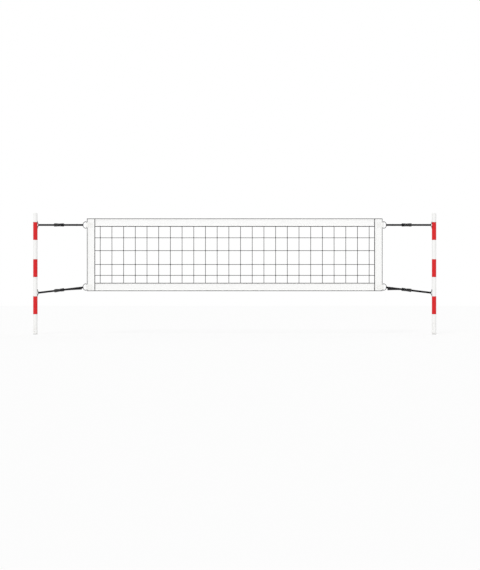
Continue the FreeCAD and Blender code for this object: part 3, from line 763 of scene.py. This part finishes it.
# D-rings: bent and welded 8 mm wire, plated black. Each hangs in a tab of white webbing, folded round its
# straight bar and sewn through the side band, with a box and a cross of heavy thread.
tab_width = 0.068
tab_length = 0.078
ring_bar_offset = 0.008
ring_wire = 0.004
webbing = 0.0015
loop_gap = 0.0003
tab_bends = [0.012, 0.010, 0.006]
tab_margin = 0.005
tab_step = 0.006
tape_parts = 8
box_pitch = 0.0045
herringbone = 0.0042
rib_pitch = 0.0019
warp_pitch = 0.0012


def straps_finish(name, light, dark, worn):
    """Woven webbing: a herringbone of fine ribs."""
    material, at = finish(name, {"Specular IOR Level": 0.2, "Sheen Weight": 0.05, "Sheen Roughness": 0.45})
    u, v = axes(at.node("UVMap", {"uv_map": "UVMap"}))[:2]
    rib = at.math("SINE", (u + at.math("PINGPONG", v, herringbone)) * (2 * pi / rib_pitch))
    warp = at.math("SINE", v * (2 * pi / warp_pitch))
    height = rib * 0.7 + warp * 0.3
    dust = slope(noise(at, 40.0, 5.0), 0.48, 0.78)
    # The weave's colour is painted darker in the valleys between the ribs and lighter on their crowns, as
    # painted shade; the dust below is real dirt.
    shaded_weave_colour = mixed(slope(height, -0.9, 0.9), dark, light)
    feed(material, {
        "Base Color": mixed(dust * 0.3, shaded_weave_colour, worn),
        "Roughness": 0.78 - slope(height, 0.0, 1.0) * 0.18,
        "Normal": bump(height, 0.00035, 0.8),
    })
    return material


def ring_steel():
    material, at = finish("ring_steel", {"Metallic": 1.0})
    drawn = noise(stretched(at, (700, 700, 60)), 1.0, 2.0)
    dull = slope(noise(at, 70.0, 4.0), 0.42, 0.72)
    feed(material, {
        "Base Color": mixed(dull, (0.055, 0.055, 0.060, 1), (0.025, 0.025, 0.027, 1)),
        "Roughness": 0.22 + drawn * 0.12 + dull * 0.2,
        "Normal": bump(drawn, 0.00008, 0.4),
    })
    return material


def flat_tape(width, thickness):
    """The outline of webbing, its width along X and its thickness along Y."""
    line = [Vector((width * (i / tape_parts - 0.5), 0, 0)) for i in range(tape_parts + 1)]
    return thick(line, thickness)


def frame_of(run, out, corner):
    place = Matrix((run, out, run.cross(out))).transposed().to_4x4()
    place.translation = corner
    return place


places = [side + "_" + level for side in ("left", "right") for level in ("upper", "lower")]
ring_bars = {place: Vector(joints[place + "_ring_swing"]["pos_m"]) for place in places}
upright_frames = {place: frame_of(Vector((copysign(1, bar.x), 0, 0)), Vector((0, -1, 0)), bar)
                  for place, bar in ring_bars.items()}


def box_and_cross(start, end, half, stand, sign):
    """Rows round a box and along its diagonals on one face of webbing that runs along X."""
    box = ((start, -half), (end, -half), (end, half), (start, half))
    corners = [Vector((x, sign * stand, z)) for x, z in box]
    runs = list(zip(corners, corners[1:] + corners[:1])) + [corners[0::2], corners[1::2]]
    return [stitches(first, last, Vector((0, sign, 0)), box_pitch) for first, last in runs]


tab_around = ring_wire + loop_gap + webbing / 2
tab_over = fold_radius(batten_radius) + binding + webbing / 2 + leg_gap
tab_flat = tape + webbing / 2
tab_leg = [
    (-ring_bar_offset - tab_length, tab_flat, 0),
    (-ring_bar_offset - fold_flat - fold_taper - webbing, tab_flat, tab_bends[0]),
    (-ring_bar_offset - fold_flat - webbing, tab_over, tab_bends[1]),
    (-ring_bar_offset - webbing, tab_over, tab_bends[2]),
    (0, tab_around, tab_bends[2]),
    (tab_around, tab_around, tab_around),
]
tab_path = rounded(tab_leg + [(x, -y, radius) for x, y, radius in reversed(tab_leg)], tab_step)
tab_mesh = sweep(flat_tape(tab_width, webbing), along(tab_path, Vector((0, 0, 1))))
tab_stitches = []
for sign in (1, -1):
    tab_stitches += box_and_cross(tab_margin - ring_bar_offset - tab_length,
                                  -ring_bar_offset - fold_flat - fold_taper - webbing - tab_margin,
                                  tab_width / 2 - tab_margin, tab_flat + webbing / 2, sign)
white_webbing = straps_finish("white_webbing", (0.95, 0.95, 0.94, 1), (0.84, 0.84, 0.82, 1),
                              (0.78, 0.77, 0.74, 1))
piece("tab_webbing", [placed(tab_mesh, at) for at in upright_frames.values()], white_webbing,
      "root", ["ring_tabs"])
piece("tab_stitches", [placed(row, at) for at in upright_frames.values() for row in tab_stitches],
      white_thread, "root")
bpy.data.meshes.remove(tab_mesh)
for row in tab_stitches:
    bpy.data.meshes.remove(row)
dress([place + "_d_ring" for place in places], ring_steel())


# Straps: black webbing 25 mm wide. The net strap is sewn round its D-ring, runs through the ratchet's spool
# and comes back as a free tail, and the pole strap joins the ratchet's bolt to the anchor on the pole.
strap_width = 0.025
layer_gap = 0.0001
layer_half = (webbing + layer_gap) / 2
layer_pitch = webbing + layer_gap
ring_radius = 0.047
ring_apex_slack = ring_radius - sqrt(ring_radius ** 2 - (strap_width / 2) ** 2)
loop_shoulder = 0.002
loop_closing = 0.028
shoulder_bend = 0.008
closing_bend = 0.020
sewn_length = 0.034
sewn_margin = 0.002
sewn_inset = 0.004
strap_wrap = radians(150)
strap_step = 0.008
upper_tail_end = 0.118
lower_tail_end = 0.064
tail_droop = {"left_lower": 0.014, "right_lower": 0.0245}
tail_curl = 0.3
tail_behind = 1.2 * layer_pitch
tail_behind_rate = 3
spool_clear = 0.018
keeper_place = 0.126
keeper_width = 0.012
keeper_wall = 0.0012
keeper_bend = 0.0012
keeper_step = 0.006
anchor_reach = 0.012
anchor_wire = 0.003
bolt_reach = 0.085
bolt_radius = 0.004
axle_points = {place: Vector(joints[place + "_handle_swing"]["pos_m"]) for place in places}
strap_radius = abs(axle_points["left_upper"].y) - layer_half
tail_radius = strap_radius + layer_pitch
strap_frames = {}
axle_reach = {}
for place in places:
    reach = axle_points[place] - ring_bars[place]
    reach.y = 0.0
    axle_reach[place] = reach.length
    strap_frames[place] = frame_of(reach.normalized(), Vector((0, -1, 0)), ring_bars[place])


def loop_corners(bar, radius, slack, toward):
    """Corners of the route round a bar, from the layer behind it to the one in front."""
    around = radius + loop_gap + webbing / 2
    behind = [(bar + toward * loop_closing, -layer_half, closing_bend),
              (bar + toward * loop_shoulder, -around, shoulder_bend),
              (bar - toward * (slack + around), -around, around)]
    return behind + [(x, -y, radius) for x, y, radius in reversed(behind)]


def around_spool(centre, radius):
    """Points round the spool, from just under it."""
    return swung(centre, centre - Vector((0, radius, 0)), strap_wrap)


def webbing_along(path):
    """A length of the straps' webbing, its width along Z."""
    return sweep(flat_tape(strap_width, webbing), along(path, Vector((0, 0, 1))))


def sewn_loop(start, end):
    """Stitches through both layers of a strap's sewn end, which runs from start to end, on both faces."""
    rows = []
    for sign in (1, -1):
        rows += box_and_cross(start + sewn_margin, end - sewn_margin, strap_width / 2 - sewn_inset,
                              layer_half + webbing / 2, sign)
    return rows


def net_strap(place):
    centre = Vector((axle_reach[place], layer_half + strap_radius, 0))
    throat = ring_radius + loop_closing
    corners = [(throat + sewn_length, -layer_half, 0)]
    corners += loop_corners(ring_radius, ring_wire, ring_apex_slack, 1)
    path = rounded(corners + [(centre.x, layer_half, 0)], strap_step) + around_spool(centre, strap_radius)
    return [webbing_along(path)] + sewn_loop(throat, throat + sewn_length)


def free_tail(place):
    """The strap's end, back along the strap: held by the keeper, or hanging below and behind it."""
    centre = Vector((axle_reach[place], layer_half + strap_radius, 0))
    droop = tail_droop.get(place, 0.0)
    down = copysign(droop, strap_frames[place].col[2].z) * -1
    end = lower_tail_end if droop else upper_tail_end
    gate = centre.x - spool_clear
    low = layer_half - layer_pitch
    behind = tail_behind if droop else 0.0
    tip = Vector((end, 0, 0))
    path = []
    for point in [tip] + straight(tip, Vector((gate, 0, 0)), strap_step):
        share = (gate - point.x) / (gate - end)
        fall = tail_curl * share * share + (1 - tail_curl) * share
        path.append(Vector((point.x, low - behind * ease(share * tail_behind_rate), down * fall)))
    path += straight(Vector((gate, low, 0)), Vector((centre.x, low, 0)), strap_step)
    return webbing_along(path + around_spool(centre, tail_radius))


def keeper(place):
    """A loop of narrow webbing round the strap, and round the tail where that is held."""
    held = 0.0 if place in tail_droop else layer_pitch
    low = layer_half - webbing / 2 - loop_gap - held - keeper_wall / 2
    high = layer_half + webbing / 2 + loop_gap + keeper_wall / 2
    half = strap_width / 2 + loop_gap + keeper_wall / 2
    corners = [(0, high), (half, high), (half, low), (-half, low), (-half, high), (0, high)]
    ring = rounded([(z, y, keeper_bend) for z, y in corners], keeper_step)[:-1]
    path = [Vector((keeper_place + keeper_width / 2, point.y, point.x)) for point in ring]
    return sweep(flat_tape(keeper_width, keeper_wall), along(path, Vector((1, 0, 0)), True), True)


def pole_strap(place):
    run = strap_frames[place].col[0]
    bolt = axle_reach[place] + bolt_reach
    anchor = (pole_x - pole_radius - anchor_reach - abs(ring_bars[place].x)) / abs(run.x)
    slack = strap_width / 2 * abs(run.z / run.x)
    near = bolt + loop_closing
    far = anchor - loop_closing
    corners = [(near + sewn_length, -layer_half, 0)] + loop_corners(bolt, bolt_radius, 0, 1)
    corners += reversed(loop_corners(anchor, anchor_wire, slack, -1))
    corners.append((far - sewn_length, -layer_half, 0))
    rows = sewn_loop(near, near + sewn_length) + sewn_loop(far - sewn_length, far)
    return [webbing_along(rounded(corners, strap_step))] + rows


black_webbing = straps_finish("black_webbing", (0.013, 0.013, 0.015, 1), (0.004, 0.004, 0.005, 1),
                              (0.034, 0.033, 0.031, 1))
pole_straps = []
for place in places:
    at = strap_frames[place]
    strap = piece(place + "_strap", [placed(shape, at) for shape in net_strap(place) + [free_tail(place)]],
                  black_webbing, None, [place + "_net_strap"])
    loop = piece(place + "_keeper", [placed(keeper(place), at)], black_webbing, None,
                 ["strap_keepers"])
    for cloth in (strap, loop):
        place + "_ring"
        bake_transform(cloth)
    pole_straps += [placed(shape, at) for shape in pole_strap(place)]
piece("pole_strap_webbing", pole_straps, black_webbing, "root", ["pole_straps"])


# Ratchets: pressed steel frame and handle with a satin black coating, on a slotted axle with two toothed
# wheels. Webbing is wound on the axle, two pawls slide against small coil springs, and a ribbed grip of
# moulded plastic is pushed over the handle's end.
spring_radius = 0.0026
spring_wire = 0.00045
spring_turns = 7
spring_sides = 6
turn_steps = 14
end_crowding = 0.07
grip_start = 0.088
grip_end = 0.1215
grip_low = 0.0022
grip_high = 0.0188
grip_half = 0.0226
grip_round = 0.003
grip_step = 0.012
tip_steps = 5
mouth_round = 0.0012
groove_count = 6
groove_pitch = 0.0038
groove_start = 0.0965
groove_depth = 0.0007
groove_flat = 0.0007
groove_edge = 0.0012
drive_span = (0.0387, 0.0527)
lock_span = (0.0313, 0.0437)
drive_angle = radians(15)
lock_angle = radians(-15)
axle_radius = 0.006
slot_clearance = 0.0002
slot_step = 0.002


def wire_steel():
    material, at = finish("wire_steel", {"Metallic": 1.0})
    drawn = noise(at, 700.0, 2.0)
    feed(material, {
        "Base Color": mixed(drawn, (0.30, 0.30, 0.30, 1), (0.20, 0.20, 0.21, 1)),
        "Roughness": 0.2 + drawn * 0.15,
    })
    return material


def coil(start, end, angle):
    """A compression spring round a pawl's tang, its end turns closed up."""
    path = []
    count = spring_turns * turn_steps
    for i in range(count + 1):
        share = i / count
        closed = share - end_crowding * sin(2 * pi * share)
        spin = 2 * pi * spring_turns * share
        path.append(Vector((start + spring_wire + (end - start - 2 * spring_wire) * closed,
                            spring_radius * cos(spin), spring_radius * sin(spin))))
    mesh = sweep(circle(spring_wire, spring_sides), along(path, Vector((1, 0, 0))))
    mesh.transform(Matrix.Rotation(angle, 4, "Z"))
    return mesh


def winding():
    """Webbing through the axle's slot, each end wound once round it over the other."""
    first = axle_radius + webbing / 2 + layer_gap + layer_pitch / 2
    corner = webbing / 2 + slot_clearance
    corner_x = sqrt((first - corner) ** 2 - corner ** 2) - layer_pitch / 2
    leave = atan2(-corner, corner_x + layer_pitch / 2)
    half = straight(Vector((0, 0, 0)), Vector((corner_x, 0, 0)), slot_step)
    half += swung(Vector((corner_x, -corner, 0)), half[-1], leave - pi / 2)
    half += swung(Vector((-layer_pitch / 2, 0, 0)), half[-1], -pi - leave)
    half += swung(Vector((layer_pitch / 2, 0, 0)), half[-1], -pi)
    other = [Vector((-point.x, -point.y, 0)) for point in reversed(half)]
    return webbing_along(other + [Vector((0, 0, 0))] + half)


def grip_stations():
    """Places along the grip, each with how far its outline is drawn in: mouth, grooves, rounded tip."""
    stations = [(grip_start, mouth_round), (grip_start + mouth_round / 3, mouth_round / 3),
                (grip_start + mouth_round, 0.0)]
    for i in range(groove_count):
        middle = groove_start + groove_pitch * i
        stations += [(middle - groove_edge, 0.0), (middle - groove_flat, groove_depth),
                     (middle + groove_flat, groove_depth), (middle + groove_edge, 0.0)]
    for i in range(tip_steps + 1):
        angle = pi / 2 * i / tip_steps
        stations.append((grip_end - grip_round * (1 - sin(angle)), grip_round * (1 - cos(angle))))
    return stations


def grip():
    """The grip over the handle's end, along the ratchet's X axis."""
    middle = (grip_high + grip_low) / 2
    high = (grip_high - grip_low) / 2
    corners = [(0, high), (grip_half, high), (grip_half, -high), (-grip_half, -high), (-grip_half, high),
               (0, high)]
    outline = rounded([(z, y, grip_round) for z, y in corners], grip_step)[:-1]
    stations = grip_stations()
    path = [Vector((x, middle, 0)) for x, inset in stations]
    sections = [place @ Matrix.Diagonal((1 - inset / grip_half, 1 - inset / high, 1, 1))
                for place, (x, inset) in zip(along(path, Vector((0, 0, 1))), stations)]
    return sweep(outline, sections)


spring_steel = wire_steel()
black_zinc = plated("black_zinc", (0.040, 0.040, 0.043, 1), (0.062, 0.062, 0.065, 1),
                    (0.025, 0.025, 0.026, 1))
dress(["frame_bolts"], black_zinc)
for place in places:
    dress([place + part for part in ("_ratchet_frame", "_handle")], coated)
    dress([place + part for part in ("_spool", "_drive_pawl", "_lock_pawl")], black_zinc)
    at = strap_frames[place] @ Matrix.Translation((axle_reach[place], layer_half + strap_radius, 0))
    piece(place + "_ribbed_grip", [placed(grip(), at)], black_plastic, place + "_handle",
          [place + "_handle_grip"])
    piece(place + "_winding", [placed(winding(), at)], black_webbing, place + "_spool",
          [place + "_wound_webbing"])
    springs = (("_pawl_spring", drive_span, drive_angle, "_drive_pawl_slide",
                place + "_handle", place + "_drive_spring"),
               ("_catch_spring", lock_span, lock_angle, "_lock_pawl_slide", "root", "lock_springs"))
    for part, span, angle, joint, body, node in springs:
        spring = piece(place + part, [placed(coil(*span, angle), at)], spring_steel, body,
                       [node])
        travel = joints[place + joint]["range_m"][1]
        place + joint
        joints[place + joint]["axis"]
        1 - travel / (span[1] - span[0])
        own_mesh(spring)


# Studio: a white floor that keeps the shadows, a white surround, a soft key light from the front, a little
# to the left, a weaker one from behind, and a long lens, level with the lower part of the net.
floor_size = 60.0
floor_glow = 0.64
surround = 0.61
lamps = {
    "key": {"strength": 1.15, "turn": -18, "lean": 52, "softness": 14},
    "back": {"strength": 0.75, "turn": 155, "lean": 60, "softness": 40},
}
far_clip = 200.0
lens = 100.0
sensor = 36.0
picture_height = 570
metres_per_pixel = 0.01377
camera_x = 0.073
camera_z = 0.677

scene = bpy.context.scene
scene.view_settings.view_transform = "Standard"


def seen_directly(wire):
    """1 for the camera and in reflections and glass, else 0."""
    rays = [wire.node("LightPath", output=ray) for ray in
            ("Is Camera Ray", "Is Glossy Ray", "Is Transmission Ray")]
    return wire.math("MAXIMUM", wire.math("MAXIMUM", rays[0], rays[1]), rays[2])


world = bpy.data.worlds.new("surround")
scene.world = world
world.use_nodes = True
background = world.node_tree.nodes["Background"]
seen = seen_directly(Wire(world.node_tree))
background.inputs["Color"].default_value = (1, 1, 1, 1)
world.node_tree.links.new((surround + seen * (1 - surround)).socket, background.inputs["Strength"])

floor_mesh = bmesh.new()
bmesh.ops.create_grid(floor_mesh, x_segments=2, y_segments=2, size=floor_size / 2)
floor_data = bpy.data.meshes.new("floor")
floor_mesh.to_mesh(floor_data)
floor = bpy.data.objects.new("floor", floor_data)
scene.collection.objects.link(floor)
floor_finish = bpy.data.materials.new("floor")
floor_finish.use_nodes = True
floor_data.materials.append(floor_finish)
tree = floor_finish.node_tree
wire = Wire(tree)
paper = noise(wire.node("TexCoord", output="Object"), 3.0)
matt = wire.node("BsdfDiffuse", {}, {"Color": mixed(paper, (0.98, 0.98, 0.98, 1), (0.99, 0.99, 0.99, 1))})
glow = wire.node("Emission", {}, {"Color": (1, 1, 1, 1), "Strength": 1.0})
mix = wire.node("MixShader", {}, {0: seen_directly(wire) * floor_glow, 1: matt, 2: glow})
tree.links.new(mix.socket, tree.nodes["Material Output"].inputs["Surface"])

for name, setting in lamps.items():
    lamp = bpy.data.lights.new(name, "SUN")
    lamp.energy = setting["strength"]
    lamp.angle = radians(setting["softness"])
    light = bpy.data.objects.new(name, lamp)
    light.rotation_euler = (radians(setting["lean"]), 0, radians(setting["turn"]))
    scene.collection.objects.link(light)

lens_data = bpy.data.cameras.new("camera")
lens_data.lens = lens
lens_data.sensor_width = sensor
lens_data.clip_end = far_clip
camera = bpy.data.objects.new("camera", lens_data)
distance = metres_per_pixel * picture_height * lens / sensor
camera.location = (camera_x, -distance, camera_z)
camera.rotation_euler = (pi / 2, 0, 0)
scene.collection.objects.link(camera)
scene.camera = camera
